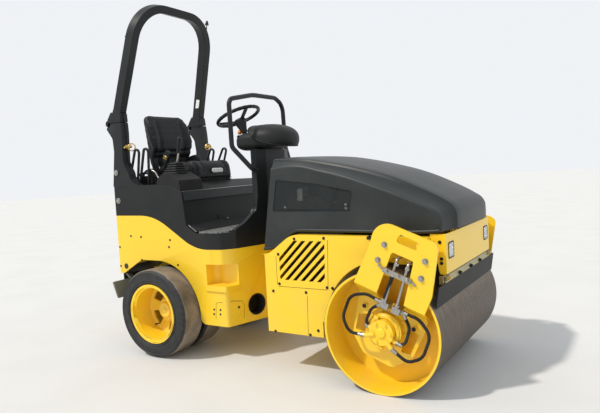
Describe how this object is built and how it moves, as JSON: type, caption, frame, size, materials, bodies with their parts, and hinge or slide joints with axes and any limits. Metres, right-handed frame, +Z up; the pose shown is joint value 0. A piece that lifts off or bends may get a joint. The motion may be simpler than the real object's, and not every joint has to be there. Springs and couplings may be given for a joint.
{
  "type": "articulated combination road roller",
  "caption": "Ride-on road roller that steers at its middle, with a smooth steel drum in front, smooth tyres behind, a foldable roll bar over the seat and a tilting hood.",
  "frame": {"origin": "on the ground under the middle of the machine's length, on its middle plane", "axes": "+X forward towards the drum, +Y to the driver's left, +Z up"},
  "size_m": [2.6267, 1.302, 2.6103],
  "materials": {
    "yellow_paint": "semi-gloss enamel with a little dust",
    "black_plastic": "textured moulding",
    "hood_plastic": "smooth dark grey moulding",
    "black_paint": "satin powder coat",
    "steering_plastic": "soft grain",
    "tread_plate": "raised tear pattern, worn",
    "plated_steel": "zinc plated",
    "seat_vinyl": "black seat vinyl",
    "black_rubber": "matt rubber",
    "axle_steel": "painted casting",
    "engine_paint": "painted casting",
    "lamp_glass": "moulded lens",
    "drum_steel": "rolled steel, scuffed and dusty",
    "mesh_steel": "perforated sheet",
    "tyre_rubber": "smooth tread, dusty"
  },
  "bodies": {
    "rear_frame": {"rear_frame": "yellow_paint", "pivot_yoke": "yellow_paint", "tow_clevis": "yellow_paint", "deck_cover": "black_plastic", "instrument_cover": "black_plastic", "lever_console": "black_plastic", "seat_base": "black_plastic", "socket_right": "black_paint", "socket_left": "black_paint", "bulkhead": "black_paint", "handrail": "black_paint", "seat_rails_right": "black_paint", "seat_rails_left": "black_paint", "seat_hanger": "black_paint", "tyre_scraper_right": "black_paint", "tyre_scraper_left": "black_paint", "steering_wheel": "steering_plastic", "floor_tread": "tread_plate", "lock_pins": "plated_steel", "pivot_pin": "plated_steel", "seat_cushion": "seat_vinyl", "seat_back": "seat_vinyl", "drive_lever": "black_rubber", "hub_right": "axle_steel", "hub_left": "axle_steel"},
    "front_frame": {"pivot_block": "yellow_paint", "front_frame": "yellow_paint", "front_panel": "yellow_paint", "headlamps": "lamp_glass", "scraper_beam": "yellow_paint", "drum_wiper": "black_rubber", "engine": "engine_paint", "fork_right": "yellow_paint", "fork_left": "yellow_paint", "motor_right": "yellow_paint", "motor_left": "yellow_paint", "pipes_right": "plated_steel", "pipes_left": "plated_steel", "hoses_right": "black_rubber", "hoses_left": "black_rubber", "shaft_right": "axle_steel", "shaft_left": "axle_steel"},
    "drum": {"drum": "drum_steel"},
    "hood": {"hood": "hood_plastic", "grille_right": "mesh_steel", "grille_left": "mesh_steel"},
    "roll_bar": {"roll_bar": "black_paint"},
    "wheels_right": {"tyre_outer_right": "tyre_rubber", "tyre_inner_right": "tyre_rubber", "rim_right": "yellow_paint"},
    "wheels_left": {"tyre_outer_left": "tyre_rubber", "tyre_inner_left": "tyre_rubber", "rim_left": "yellow_paint"}
  },
  "joints": [
    {"name": "steering", "type": "hinge", "parent": "rear_frame", "child": "front_frame", "pos_m": [0.0745, 0, 0.445], "axis": [0, 0, 1], "range_deg": [-30, 30]},
    {"name": "drum_roll", "type": "hinge", "parent": "front_frame", "child": "drum", "pos_m": [0.937, 0, 0.35], "axis": [0, 1, 0], "continuous": true},
    {"name": "wheel_roll_right", "type": "hinge", "parent": "rear_frame", "child": "wheels_right", "pos_m": [-0.788, 0, 0.313], "axis": [0, 1, 0], "continuous": true},
    {"name": "wheel_roll_left", "type": "hinge", "parent": "rear_frame", "child": "wheels_left", "pos_m": [-0.788, 0, 0.313], "axis": [0, 1, 0], "continuous": true},
    {"name": "roll_bar_fold", "type": "hinge", "parent": "rear_frame", "child": "roll_bar", "pos_m": [-1.2905, 0, 1.692], "axis": [0, -1, 0], "range_deg": [0, 125]},
    {"name": "hood_lid", "type": "hinge", "parent": "front_frame", "child": "hood", "pos_m": [1.2705, 0, 0.912], "axis": [0, 1, 0], "range_deg": [0, 50]}
  ]
}
